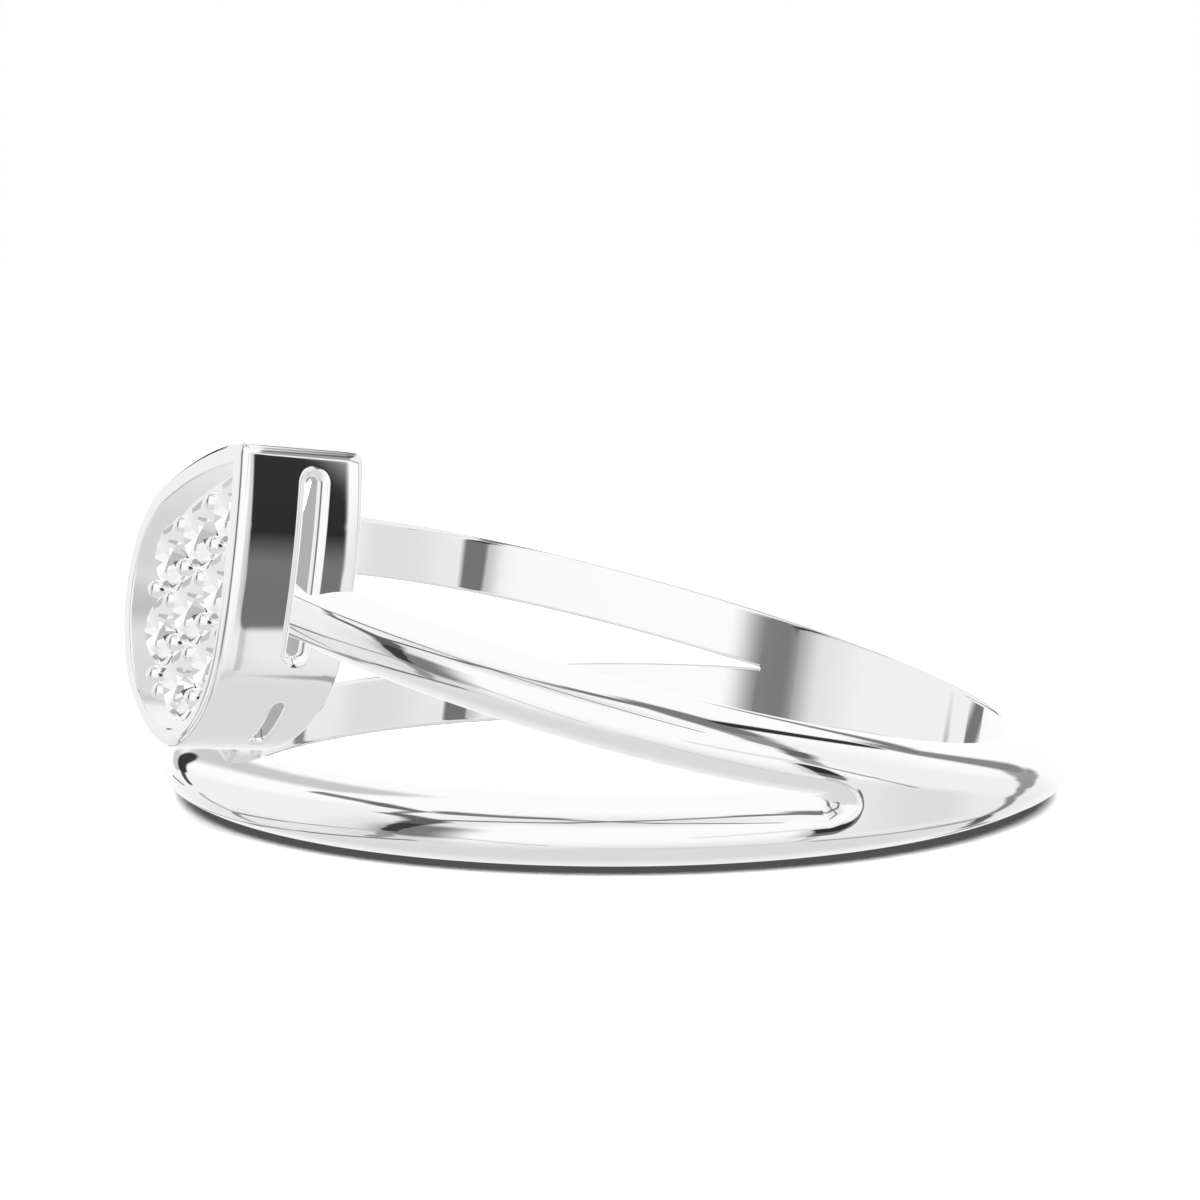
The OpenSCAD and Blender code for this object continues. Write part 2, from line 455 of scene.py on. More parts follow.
def on_outline(along, depth):
    """Point of the teardrop that far along its outline and that deep under it."""
    for (centre, radius, first, last), length in zip(ARCS, arc_lengths):
        if along <= length:
            break
        along -= length
    else:
        along = length
    angle = first + (last - first) * along / length
    x = centre[0] + (radius - depth) * cos(angle)
    y = centre[1] + (radius - depth) * sin(angle)
    past_tip = depth >= RIDGE_R and (radius == RIDGE_R or x * cos(angle) <= 0 and y > round_r)
    if past_tip:
        return 0.0, sqrt((flank_r - depth) ** 2 - flank_x ** 2) - flank_y
    return x, y


def finger_side(x, y):
    """Height of the finger hole over its axis under a point of the head."""
    sideways = x * cos(HEAD_LEAN) + y * sin(HEAD_LEAN)
    return sqrt(FINGER_R ** 2 - sideways ** 2)


print(f"outline {outline_length:.2f} mm long, tip at {on_outline(0, SKIN)[1]:.2f} mm")

# %% [markdown]
# The gallery slots are pierced through the wall and their edges are polished into
# round lips. On the flat, a slot is a straight line with a round end. The wall leaves
# a window round it, and rings of corners lead from the window's edge to the lip, over
# the lip and through the wall.

# %% Slots and their windows on the unrolled wall
UPPER_SLOT_FROM = 0.5
UPPER_SLOT_TURN = 26
LOWER_SLOT_TURN = 4
UPPER_LIP_R = 0.2
LOWER_LIP_R = 0.12
WINDOW_MARGIN = 0.08
LINING_T = 0.1
LINING_DEPTH = 0.45
TIP_ROOM = 0.45
LEAST_LINING = 0.1
LIP_ENDS = 10
# Material slots of the wall: the satin pocket, and the slot sides, which are satin with painted
# shade in their darkened colour.
POCKET, SLOT_SIDE = 1, 2
slot_end_r = SLOT_W / 2
flank_end = arc_lengths[0] + arc_lengths[1]


def along_at_turn(turn):
    """How far along the outline that turn of the round end lies, in degrees."""
    return flank_end + round_r * (flank_to - radians(turn))


UPPER_SLOT = (UPPER_SLOT_FROM, along_at_turn(UPPER_SLOT_TURN))
LOWER_SLOT = (along_at_turn(LOWER_SLOT_TURN), along_at_turn(-UPPER_SLOT_TURN))
near_slots = [(first + slot_end_r, last - slot_end_r, lip)
              for (first, last), lip in ((UPPER_SLOT, UPPER_LIP_R), (LOWER_SLOT, LOWER_LIP_R))]
near_windows = []
for first, last, lip in near_slots:
    margin = slot_end_r + lip + WINDOW_MARGIN
    near_windows.append((first - margin, last + margin))

# %% Columns of the wall, with a column on each edge of a window
COLUMN_STEP = 0.08
LEAST_COLUMNS = 6
edges = [0, *near_windows[0], *near_windows[1], outline_length / 2]
columns = [0]
column_of_edge = [0]
for first, last in zip(edges, edges[1:]):
    count = max(LEAST_COLUMNS, round((last - first) / COLUMN_STEP))
    columns += steps(first, last, count)[1:]
    column_of_edge.append(len(columns) - 1)
half_count = len(columns) - 1
columns += [outline_length - along for along in reversed(columns[1:-1])]
windows = []
for number, slot in enumerate(near_slots):
    first, last = column_of_edge[1 + 2 * number], column_of_edge[2 + 2 * number]
    windows.append((first, last, slot))
    windows.append((2 * half_count - last, 2 * half_count - first,
                    (outline_length - slot[1], outline_length - slot[0], slot[2])))
print(f"wall of {len(columns)} columns with {len(windows)} windows")

# %% [markdown]
# The wall is laid as closed rings: down the outer face from the rim, round the back
# edge that sits on the finger, and up the inside to the rim again. The rim's outer
# edge and the back edge are polished over, and beside them the outer face already
# bends a hair, as metal does that a soft wheel has gone over.

# %% Rows of the wall
RIM_R = 0.2
FAR_RIM_R = 0.08
BACK_R = 0.2
RIM_CHANGE = 0.6
PILLOW = 0.01
PILLOW_W = 0.36
FOOT_PILLOW_FROM = 0.4
INNER_RIM_R = 0.04
pillow_slope = 3 * PILLOW / PILLOW_W
rim_top = rim_out - SKIN
window_half = slot_end_r + UPPER_LIP_R + WINDOW_MARGIN
window_top = slot_out + window_half
window_foot = slot_out - window_half


def pillow(beside_edge):
    """How much deeper the outer face lies beside a rounded edge."""
    return PILLOW * max(1 - beside_edge / PILLOW_W, 0) ** 3


def rim_radius(along):
    """The rim is polished rounder on the near side than on the far one."""
    far = min(max((along - outline_length / 2) / RIM_CHANGE, 0), 1)
    far *= min((outline_length - along) / RIM_CHANGE, 1)
    return RIM_R + (FAR_RIM_R - RIM_R) * far


def rim_level(angle):
    """Ring on the rounding of the rim, from its top at angle 0 to its side."""
    ring = []
    for along in columns:
        radius = rim_radius(along)
        x, y = on_outline(along, SKIN + PILLOW + radius * (1 - sin(angle)))
        ring.append(Vector((x, y, rim_top - radius * (1 - cos(angle)))))
    return ring


def beside_rim(share):
    """Ring on the outer face beside the rounding, by its share of the pillow."""
    ring = []
    for along in columns:
        beside = PILLOW_W * share
        x, y = on_outline(along, SKIN + pillow(beside))
        ring.append(Vector((x, y, rim_top - rim_radius(along) - beside)))
    return ring


def level(z, depth):
    """Ring of the wall at one height over the finger axis."""
    return [Vector((*on_outline(along, depth), z)) for along in columns]


def foot_level(share, depth=SKIN):
    """Ring between the windows and the finger side, by its share of the way."""
    ring = []
    for along in columns:
        x, y = on_outline(along, depth)
        foot = finger_side(x, y) + BACK_R
        ring.append(Vector((x, y, window_foot + (foot - window_foot) * share)))
    return ring


def edge_level(depth, lift):
    """Ring on the finger side, that far over it."""
    return [Vector((x, y, finger_side(x, y) + lift))
            for x, y in (on_outline(along, depth) for along in columns)]


rows = [level(rim_top - INNER_RIM_R * (1 - sin(a)), WALL_T - INNER_RIM_R * (1 - cos(a)))
        for a in steps(0, pi / 2, 3)]
rows += [level(rim_top, WALL_T - INNER_RIM_R - SUPPORT / 3)]
rows += [rim_level(angle) for angle in steps(0, pi / 2 - pillow_slope, 8)]
rows += [beside_rim(share) for share in steps(0.03, 1, 10)]
rows += [level(z, SKIN) for z in steps(rim_top - RIM_R - PILLOW_W, window_top, 5)[1:]]
outer_window_row = len(rows) - 1
WINDOW_ROWS = 10
window_levels = steps(window_top, window_foot, WINDOW_ROWS)
rows += [level(z, SKIN) for z in window_levels[1:]]
rows += [foot_level(share) for share in (FOOT_PILLOW_FROM / 2, FOOT_PILLOW_FROM)]
for share in steps(0.46, 0.98, 8):
    beside = PILLOW_W * (1 - share) / (1 - FOOT_PILLOW_FROM)
    rows.append(foot_level(share, SKIN + pillow(beside)))
rows += [edge_level(SKIN + PILLOW + BACK_R * (1 - cos(a)), BACK_R * (1 - sin(a)))
         for a in steps(pillow_slope, pi / 2, 6)]
rows += [edge_level(WALL_T, 0)]
rows += [level(window_foot, WALL_T)]
inner_window_row = len(rows) - 1
rows += [level(z, WALL_T) for z in reversed(window_levels[:-1])]
rows += [level(rim_top - INNER_RIM_R - SUPPORT / 2, WALL_T)]
rows += [rows[0]]
wall = lay_rings("teardrop_wall", rows)
print(f"wall of {len(rows)} rows")

# %% Windows in the wall
def in_window(face_rows, face_places):
    """Whether a face of the outer or the inner side lies in one of the windows."""
    in_rows = any(first <= min(face_rows) and max(face_rows) <= first + WINDOW_ROWS
                  for first in (outer_window_row, inner_window_row))
    return in_rows and any(first <= min(face_places) and max(face_places) <= last
                           for first, last, _ in windows)


delete_faces(wall, in_window)
print(f"{len(wall.data.polygons)} faces left round the windows")

# %% [markdown]
# A lining starts flat at its window's edge and ends a little deeper than the wall, so
# the sides of a slot look as thick as they do in the photograph.

# %% Slot linings that fill the windows
def window_edge(first, last):
    """Corners of a window as (along, height), once round."""
    ways = [(columns[c], window_levels[0]) for c in range(first, last)]
    ways += [(columns[last], z) for z in window_levels[:-1]]
    ways += [(columns[c], window_levels[-1]) for c in range(last, first, -1)]
    ways += [(columns[first], z) for z in reversed(window_levels[1:])]
    return ways


def towards_slot(point, slot, reach):
    """The point at that reach from the slot's middle line, towards a point of the window."""
    middle = min(max(point[0], slot[0]), slot[1])
    away = Vector((point[0] - middle, point[1] - slot_out)).normalized()
    return middle + away.x * reach, slot_out + away.y * reach


def between(a, b, share):
    """The point at that share of the way from one to the other."""
    return a[0] + (b[0] - a[0]) * share, a[1] + (b[1] - a[1]) * share


def lining_depth(along):
    """How deep the lining ends; near the tip there is less room."""
    from_tip = min(along, outline_length - along)
    return WALL_T + LINING_DEPTH * min(max(from_tip - TIP_ROOM, LEAST_LINING), 1)


def slot_lining(first, last, slot):
    """Rings of (along, height, depth) from the window over the lip, in, and back outside."""
    lip = slot[2]
    window = window_edge(first, last)
    flat = [towards_slot(point, slot, slot_end_r + lip) for point in window]
    side = [towards_slot(point, slot, slot_end_r) for point in window]
    around = [towards_slot(point, slot, slot_end_r + LINING_T) for point in window]
    sections = [[(*point, SKIN) for point in window]]
    for share in (0.5, 0.9, 1):
        sections.append([(*between(a, b, share), SKIN) for a, b in zip(window, flat)])
    for angle in steps(0, pi / 2, 7)[1:]:
        reach = slot_end_r + lip * (1 - sin(angle))
        sections.append([(*towards_slot(point, slot, reach), SKIN + lip * (1 - cos(angle)))
                         for point in window])
    sections.append([(*point, SKIN + lip + SUPPORT / 2) for point in side])
    sections.append([(*point, lining_depth(point[0])) for point in side])
    sections.append([(*point, lining_depth(point[0])) for point in around])
    sections.append([(*point, WALL_T) for point in around])
    sections.append([(*point, WALL_T) for point in window])
    return lay_rings("slot_lining", [[Vector((*on_outline(along, depth), height))
                                      for along, height, depth in ring] for ring in sections])


linings = [slot_lining(*window) for window in windows]
# Faces past the lip take the slot material, whose darkened colour is painted shade.
for lining in linings:
    section_of = [corner.value for corner in lining.data.attributes["row"].data]
    finish_and_shade = lining.data.attributes.new("finish_and_shade", "INT", "FACE")
    for face in lining.data.polygons:
        if min(section_of[corner] for corner in face.vertices) >= LIP_ENDS:
            finish_and_shade.data[face.index].value = SLOT_SIDE
wall = join("teardrop_wall", [wall] + linings)
close_seams(wall)
count_open("teardrop wall", wall)

# %% Faces of the wall that aren't mirror polished, and slot sides with painted shade
POCKET_FROM = plate_top - 0.1
for face in wall.data.polygons:
    face.material_index = wall.data.attributes["finish_and_shade"].data[face.index].value
    middle = face.center
    inwards = face.normal.x * middle.x + face.normal.y * middle.y < 0
    upright = abs(face.normal.z) < 0.5
    if inwards and upright and POCKET_FROM < middle.z < rim_top - INNER_RIM_R:
        face.material_index = POCKET
finishes_and_shade = [face.material_index for face in wall.data.polygons]
print(f"{finishes_and_shade.count(POCKET)} faces in the pocket, {finishes_and_shade.count(SLOT_SIDE)} in the slots")

# %% [markdown]
# Under the stones lies a seat plate. Each seat is a cone with a light hole below it,
# cut by one tool that has a stone's shape with a little room all round.

# %% Places of the stones and the bead prongs
LAST_BEAD_X, LAST_BEAD_Y = 0.24, -2.02
row_step = STONE_PITCH * sqrt(3) / 2
third = row_step / 3
stone_places = [((i - (3 - abs(r) - 1) / 2) * STONE_PITCH, STONE_ROW + r * row_step)
                for r in (-1, 0, 1, 2) for i in range(3 - abs(r))]
# Each row of beads: its height in thirds of a row of stones, and its places in pitches
BEAD_ROWS = ((-2, (-1, 0, 1)), (-1, (-0.5, 0.5)), (1, (-0.5, 0.5)), (2, (-1, 0, 1)),
             (4, (0,)), (5, (-0.5, 0.5)), (8, (0,)))
bead_places = [(i * STONE_PITCH, STONE_ROW + up * third) for up, row in BEAD_ROWS for i in row]
bead_places += [(i * LAST_BEAD_X, LAST_BEAD_Y) for i in (-1, 1)]
print(f"{len(stone_places)} stones, {len(bead_places)} bead prongs")

# %% Seat cutting tool
SEAT_GAP = 0.02
PAVILION_SHARE = 0.43
GIRDLE_SHARE = 0.03
CROWN_SHARE = 0.16
TABLE_SHARE = 0.56
RUN_OUT = 0.1
CROWN_ROOM = 0.05
SEAT_CORNERS = 48
seat_r = STONE_D / 2 + SEAT_GAP
cone_foot = girdle_out - PAVILION_SHARE * STONE_D - SEAT_GAP
hole_top = cone_foot + (LIGHT_HOLE_R - SEAT_GAP) / (seat_r - SEAT_GAP) * (girdle_out - cone_foot)
girdle_top = girdle_out + GIRDLE_SHARE * STONE_D
crown_top = girdle_top + CROWN_SHARE * STONE_D + CROWN_ROOM


def seat_tool(x, y):
    """A stone's shape with room all round, and a light hole under it."""
    sections = ((LIGHT_HOLE_R, plate_back - RUN_OUT), (LIGHT_HOLE_R, hole_top),
                (seat_r, girdle_out), (seat_r, girdle_top),
                (TABLE_SHARE * STONE_D / 2 + SEAT_GAP, crown_top))
    turns_of_seat = steps(0, 2 * pi, SEAT_CORNERS)[:-1]
    tool = lay_rings("seat_tool", [[Vector((x + radius * cos(a), y + radius * sin(a), z))
                                    for a in turns_of_seat] for radius, z in sections])
    fill_ends(tool)
    return tool


def seat_tools():
    """One tool for all the seats."""
    return join("seat_tools", [seat_tool(x, y) for x, y in stone_places])


# %% Seat plate
PLATE_IN_WALL = 0.06
plate_columns = [on_outline(along, WALL_T - PLATE_IN_WALL) for along in columns[::2]]
plate = lay_rings("seat_plate", [[Vector((x, y, z)) for x, y in plate_columns]
                                 for z in (plate_back, plate_top)])
close_seams(plate)
fill_ends(plate)
cut(plate, seat_tools(), "DIFFERENCE")
print(f"seat plate of {len(plate.data.polygons)} faces")

# %% [markdown]
# A bead prong is a stub of the plate with its end rounded into a ball. One is made
# from a ball whose lower half is drawn down, the rest are copies with their own
# meshes, and the seats are cut into them where a stone's edge lies under a ball.

# %% Bead prongs
put_down()
bpy.ops.mesh.primitive_uv_sphere_add(segments=24, ring_count=16, radius=BEAD_R, location=(0, 0, 0))
first_bead = bpy.context.object
bpy.ops.object.mode_set(mode="EDIT")
bpy.ops.mesh.select_all(action="DESELECT")
mesh = bmesh.from_edit_mesh(first_bead.data)
for corner in mesh.verts:
    corner.select_set(corner.co.z < -0.001)
bmesh.update_edit_mesh(first_bead.data)
bpy.ops.transform.translate(value=(0, 0, plate_top - bead_out + BEAD_R / 2))
put_down()
beads = []
for x, y in bead_places:
    bead = first_bead.copy()
    bead.data = first_bead.data.copy()
    bpy.context.scene.collection.objects.link(bead)
    bead.data.transform(Matrix.Translation((x, y, bead_out)))
    beads.append(bead)
bpy.data.objects.remove(first_bead)
prongs = join("bead_prongs", beads)
cut(prongs, seat_tools(), "DIFFERENCE")
print(f"bead prongs of {len(prongs.data.polygons)} faces")

# %% [markdown]
# The round end of the head nearly touches the lower loop, and a small seat of solder
# joins them, run into a smooth drop.

# %% Solder seat
SOLDER_HALF = (0.6, 0.45, 0.47)
put_down()
bpy.ops.mesh.primitive_uv_sphere_add(
    segments=48, ring_count=24, radius=1, scale=SOLDER_HALF,
    location=(0, HEAD_UP - round_r, FINGER_R + SOLDER_HALF[2]))
solder = bpy.context.object
solder.name = solder.data.name = "solder_seat"
bpy.ops.object.transform_apply(location=True, rotation=True, scale=True)
print(f"solder seat of {len(solder.data.polygons)} faces")

# %% [markdown]
# The metal is cast white gold with a mirror polish. Real polish is never quite even,
# so a node group gives a faint cloud of fine haze to the roughness. Every metal piece
# uses it with its own values: the pocket round the stones, which no wheel reaches, is
# satin, and so are the sides of the slots, whose darker colour is painted shade.

# %% Polish group
def new_group(name, inputs, outputs):
    """An empty node group with its sockets, its input node and its output node."""
    group = bpy.data.node_groups.new(name, "ShaderNodeTree")
    for label, kind, value in inputs:
        socket = group.interface.new_socket(name=label, in_out="INPUT", socket_type=kind)
        socket.default_value = value
    for label, kind in outputs:
        group.interface.new_socket(name=label, in_out="OUTPUT", socket_type=kind)
    return group, group.nodes.new("NodeGroupInput"), group.nodes.new("NodeGroupOutput")


polish, p_in, p_out = new_group(
    "polish",
    [("Haze Size", "NodeSocketFloat", 900), ("Smoothest", "NodeSocketFloat", 0.02),
     ("Haziest", "NodeSocketFloat", 0.06)],
    [("Roughness", "NodeSocketFloat")])
p_coords = polish.nodes.new("ShaderNodeTexCoord")
p_noise = polish.nodes.new("ShaderNodeTexNoise")
p_noise.inputs["Detail"].default_value = 4
p_range = polish.nodes.new("ShaderNodeMapRange")
p_range.inputs["From Min"].default_value = 0.3
p_range.inputs["From Max"].default_value = 0.7
polish.links.new(p_coords.outputs["Object"], p_noise.inputs["Vector"])
polish.links.new(p_in.outputs["Haze Size"], p_noise.inputs["Scale"])
polish.links.new(p_noise.outputs["Fac"], p_range.inputs["Value"])
polish.links.new(p_in.outputs["Smoothest"], p_range.inputs["To Min"])
polish.links.new(p_in.outputs["Haziest"], p_range.inputs["To Max"])
polish.links.new(p_range.outputs["Result"], p_out.inputs["Roughness"])


# %% White gold
def new_material(name, values):
    """A material with these values in its shader, and the shader."""
    material = bpy.data.materials.new(name)
    material.use_nodes = True
    shader = material.node_tree.nodes["Principled BSDF"]
    for label, value in values.items():
        shader.inputs[label].default_value = value
    return material, shader


def white_gold(name, colour, smoothest, haziest):
    """White gold of one colour, whose haze lies between two values of roughness."""
    material, shader = new_material(name, {"Base Color": (*colour, 1), "Metallic": 1})
    haze = material.node_tree.nodes.new("ShaderNodeGroup")
    haze.node_tree = polish
    haze.inputs["Smoothest"].default_value = smoothest
    haze.inputs["Haziest"].default_value = haziest
    material.node_tree.links.new(haze.outputs["Roughness"], shader.inputs["Roughness"])
    return material


mirror_gold = white_gold("polished_white_gold", (0.93, 0.93, 0.935), 0.015, 0.04)
pocket_gold = white_gold("pocket_white_gold", (0.88, 0.88, 0.885), 0.25, 0.35)
# The slot sides' darkened colour is painted shade for their recess, over a satin roughness.
slot_gold_painted_shade = white_gold("slot_white_gold_painted_shade", (0.45, 0.45, 0.455), 0.2, 0.3)
seat_gold = white_gold("seat_white_gold", (0.9, 0.9, 0.905), 0.05, 0.12)

# %% [markdown]
# The stones are clear and cut with flat facets, so their own solids stay, and only
# their material changes: no colour, no haze and the strong refraction of diamond.

# %% Clear stone
stone, _ = new_material("clear_brilliant", {
    "Base Color": (1, 1, 1, 1), "Roughness": 0, "IOR": 2.42, "Transmission Weight": 1})
for number in range(1, len(stone_places) + 1):
    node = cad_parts[f"stone_{number}"]
    node.data.materials.clear()
    node.data.materials.append(stone)
    node.visible_glossy = False

# %% [markdown]
# The metal pieces are finished alike. In the photograph the metal mirrors the tent
# alone, and neither metal nor stones beside it, and the stones glow with the tent's
# light. So mirrored rays pass by all of them, and rays through a stone pass by the
# metal. The wall of the head stands a hair further out than the solid's, as its edges
# do in the photograph.

# %% Finish the metal pieces
SMOOTH_ANGLE = radians(32)
NODE = "split_shank_and_head"
WALL_SHIFT = (0, 0.03, 0.07)
WALL_TO_RING = HEAD_TO_RING @ Matrix.Translation(WALL_SHIFT)
metal = [(shank, [mirror_gold], Matrix.Identity(4)),
         (wall, [mirror_gold, pocket_gold, slot_gold_painted_shade], WALL_TO_RING),
         (plate, [seat_gold], HEAD_TO_RING), (prongs, [mirror_gold], HEAD_TO_RING),
         (solder, [pocket_gold], TO_TURN)]
for piece, materials, place_of_piece in metal:
    lay_down(piece, place_of_piece)
    indices = [face.material_index for face in piece.data.polygons]
    piece.data.materials.clear()
    for material in materials:
        piece.data.materials.append(material)
    piece.data.polygons.foreach_set("material_index", indices)
    pick(piece)
    bpy.ops.object.shade_smooth_by_angle(angle=SMOOTH_ANGLE)
    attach(piece, "root")
    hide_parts(NODE)
    piece.visible_glossy = False
    piece.visible_transmission = False
    print(f"{piece.name}: {len(piece.data.polygons)} faces")

# %% [markdown]
# The table is plain white card, lit to pure white as in a product photograph. The
# metal doesn't mirror it, so the tent goes on below it.

# %% Table
put_down()
bpy.ops.mesh.primitive_plane_add(size=3, location=(0, 0, 0))
table = bpy.context.object
table.name = "table"
card, _ = new_material("white_table", {
    "Base Color": (0.95, 0.95, 0.95, 1), "Roughness": 1, "Specular IOR Level": 0})
table.data.materials.append(card)
table.visible_glossy = False
table.visible_transmission = False

# %% [markdown]
# The table is lit from above by one soft light, which leaves only a thin dark line of
# shade where metal touches card. The metal doesn't mirror this light. What it mirrors
# is a round tent of white panels, and polished metal needs something dark in it, or
# its shape is lost: the dark is in the seams between the panels and their stands.

# %% Soft light above the table
bpy.ops.object.light_add(type="SUN", location=(0, 0, 0.5))
above = bpy.context.object
above.name = "light_above"
above.data.energy = 13
above.data.angle = radians(100)
above.visible_glossy = False
above.visible_transmission = False


# %% Helpers for nodes
def maths(tree, operation, *values):
    """Math node whose inputs are numbers or sockets; gives back its output."""
    node = tree.nodes.new("ShaderNodeMath")
    node.operation = operation
    for socket, value in zip(node.inputs, values):
        if isinstance(value, (int, float)):
            socket.default_value = value
        else:
            tree.links.new(value, socket)
    return node.outputs["Value"]


def vectors(tree, operation, *sockets):
    """Vector math node; gives back the node."""
    node = tree.nodes.new("ShaderNodeVectorMath")
    node.operation = operation
    for socket, value in zip(node.inputs, sockets):
        tree.links.new(value, socket)
    return node


def fall_off(tree, off_middle, half_size, soft_edge, darkness):
    """The darkness inside a size, falling softly to 0 outside it."""
    edge = tree.nodes.new("ShaderNodeMapRange")
    edge.interpolation_type = "SMOOTHSTEP"
    tree.links.new(off_middle, edge.inputs["Value"])
    tree.links.new(half_size, edge.inputs["From Min"])
    tree.links.new(maths(tree, "ADD", half_size, soft_edge), edge.inputs["From Max"])
    tree.links.new(darkness, edge.inputs["To Min"])
    edge.inputs["To Max"].default_value = 0
    return edge.outputs["Result"]


# %% [markdown]
# A seam is a straight line between two directions of the tent. The group finds how far
# off that line a direction lies and how much the seam hides there; where seams overlap,
# the darker one counts. A shade is a wide soft patch given by its height and its turn.

# %% Seam group
seam, s_in, s_out = new_group(
    "seam",
    [("Hidden", "NodeSocketFloat", 0), ("Towards", "NodeSocketVector", (0, 0, 1)),
     ("First", "NodeSocketVector", (0, 0, 1)), ("Way", "NodeSocketVector", (1, 0, 0)),
     ("Way Squared", "NodeSocketFloat", 1), ("Half Width", "NodeSocketFloat", 0.03),
     ("Soft Edge", "NodeSocketFloat", 0.03), ("Darkness", "NodeSocketFloat", 0.5),
     ("Last Darkness", "NodeSocketFloat", 0.5)],
    [("Hidden", "NodeSocketFloat")])
from_first = vectors(seam, "SUBTRACT", s_in.outputs["Towards"], s_in.outputs["First"])
along_way = vectors(seam, "DOT_PRODUCT", from_first.outputs["Vector"], s_in.outputs["Way"])
share = seam.nodes.new("ShaderNodeMapRange")
seam.links.new(along_way.outputs["Value"], share.inputs["Value"])
seam.links.new(s_in.outputs["Way Squared"], share.inputs["From Max"])
spread = seam.nodes.new("ShaderNodeCombineXYZ")
for axis in "XYZ":
    seam.links.new(share.outputs["Result"], spread.inputs[axis])
on_line = vectors(seam, "MULTIPLY_ADD", s_in.outputs["Way"], spread.outputs["Vector"],
                  s_in.outputs["First"])
nearest = vectors(seam, "NORMALIZE", on_line.outputs["Vector"])
off_line = vectors(seam, "DISTANCE", nearest.outputs["Vector"], s_in.outputs["Towards"])
more = maths(seam, "SUBTRACT", s_in.outputs["Last Darkness"], s_in.outputs["Darkness"])
darkness = maths(seam, "MULTIPLY_ADD", more, share.outputs["Result"], s_in.outputs["Darkness"])
hidden = fall_off(seam, off_line.outputs["Value"], s_in.outputs["Half Width"],
                  s_in.outputs["Soft Edge"], darkness)
seam.links.new(maths(seam, "MAXIMUM", s_in.outputs["Hidden"], hidden), s_out.inputs["Hidden"])

# %% Shade group
shade, h_in, h_out = new_group(
    "shade",
    [(label, "NodeSocketFloat", 0) for label in
     ("Light", "Azimuth", "Elevation", "Shade Azimuth", "Shade Elevation", "Half Width",
      "Half Height", "Soft Edge", "Darkness")],
    [("Light", "NodeSocketFloat")])
one = shade.nodes.new("ShaderNodeValue")
one.outputs["Value"].default_value = 1
turned = maths(shade, "SUBTRACT", h_in.outputs["Azimuth"], h_in.outputs["Shade Azimuth"])
turned = maths(shade, "ABSOLUTE", maths(shade, "WRAP", turned, 180, -180))
raised = maths(shade, "ABSOLUTE", maths(
    shade, "SUBTRACT", h_in.outputs["Elevation"], h_in.outputs["Shade Elevation"]))
hidden = maths(shade, "MULTIPLY",
               fall_off(shade, turned, h_in.outputs["Half Width"], h_in.outputs["Soft Edge"],
                        h_in.outputs["Darkness"]),
               fall_off(shade, raised, h_in.outputs["Half Height"], h_in.outputs["Soft Edge"],
                        one.outputs["Value"]))
left_over = maths(shade, "SUBTRACT", 1, hidden)
shade.links.new(maths(shade, "MULTIPLY", h_in.outputs["Light"], left_over), h_out.inputs["Light"])

# %% Directions of the tent
world = bpy.data.worlds.new("white_tent")
bpy.context.scene.world = world
world.use_nodes = True
world.cycles.sampling_method = "NONE"
tent = world.node_tree
towards = tent.nodes.new("ShaderNodeTexCoord").outputs["Generated"]
parts = tent.nodes.new("ShaderNodeSeparateXYZ")
tent.links.new(towards, parts.inputs["Vector"])
azimuth = maths(tent, "DEGREES", maths(tent, "ARCTAN2", parts.outputs["Y"], parts.outputs["X"]))
elevation = maths(tent, "DEGREES", maths(tent, "ARCSINE", parts.outputs["Z"]))

# %% [markdown]
# Azimuth 0 is to the right of the picture, 90 away from the camera, and elevation 0 is
# level with the table. Each seam was placed by asking which way the metal mirrors
# where the photograph shows a dark streak.

# %% Shades of the tent: azimuth, elevation, half width, half height, soft edge, darkness
TENT_LIGHT = 1.04
SHADES = [
    (0, -90, 180, 30, 60, 0.28),
    (0, 90, 180, 8, 25, 0.2),
    (15, 12, 25, 30, 20, 0.1),
    (-20, -14, 20, 3, 14, 0.12),
    (165, 15, 25, 35, 20, 0.1),
    (-147, 12, 5, 40, 20, 0.2),
]

